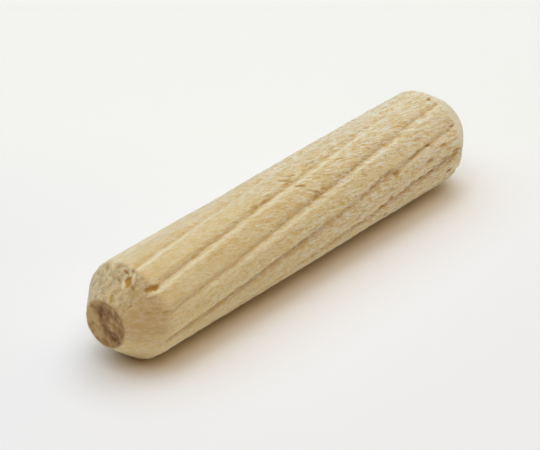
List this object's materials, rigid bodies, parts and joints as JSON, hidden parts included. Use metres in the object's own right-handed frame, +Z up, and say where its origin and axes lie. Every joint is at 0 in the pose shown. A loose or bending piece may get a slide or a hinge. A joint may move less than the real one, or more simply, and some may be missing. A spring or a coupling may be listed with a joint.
{
  "type": "dowel pin",
  "caption": "Wooden dowel pin for glued furniture joints, with spiral flutes along its shaft and a chamfer at each end",
  "frame": {"origin": "on the surface the pin lies on, below the middle of its length", "axes": "+X along the pin's axis from the front end to the back end, +Z up, +Y to the left of someone looking along +X"},
  "size_m": [0.04, 0.008, 0.008],
  "materials": {
    "raw_wood": "raw sawn and pressed wood, matt, with no coating"
  },
  "bodies": {
    "root": {"dowel_pin": "raw_wood"}
  },
  "joints": []
}
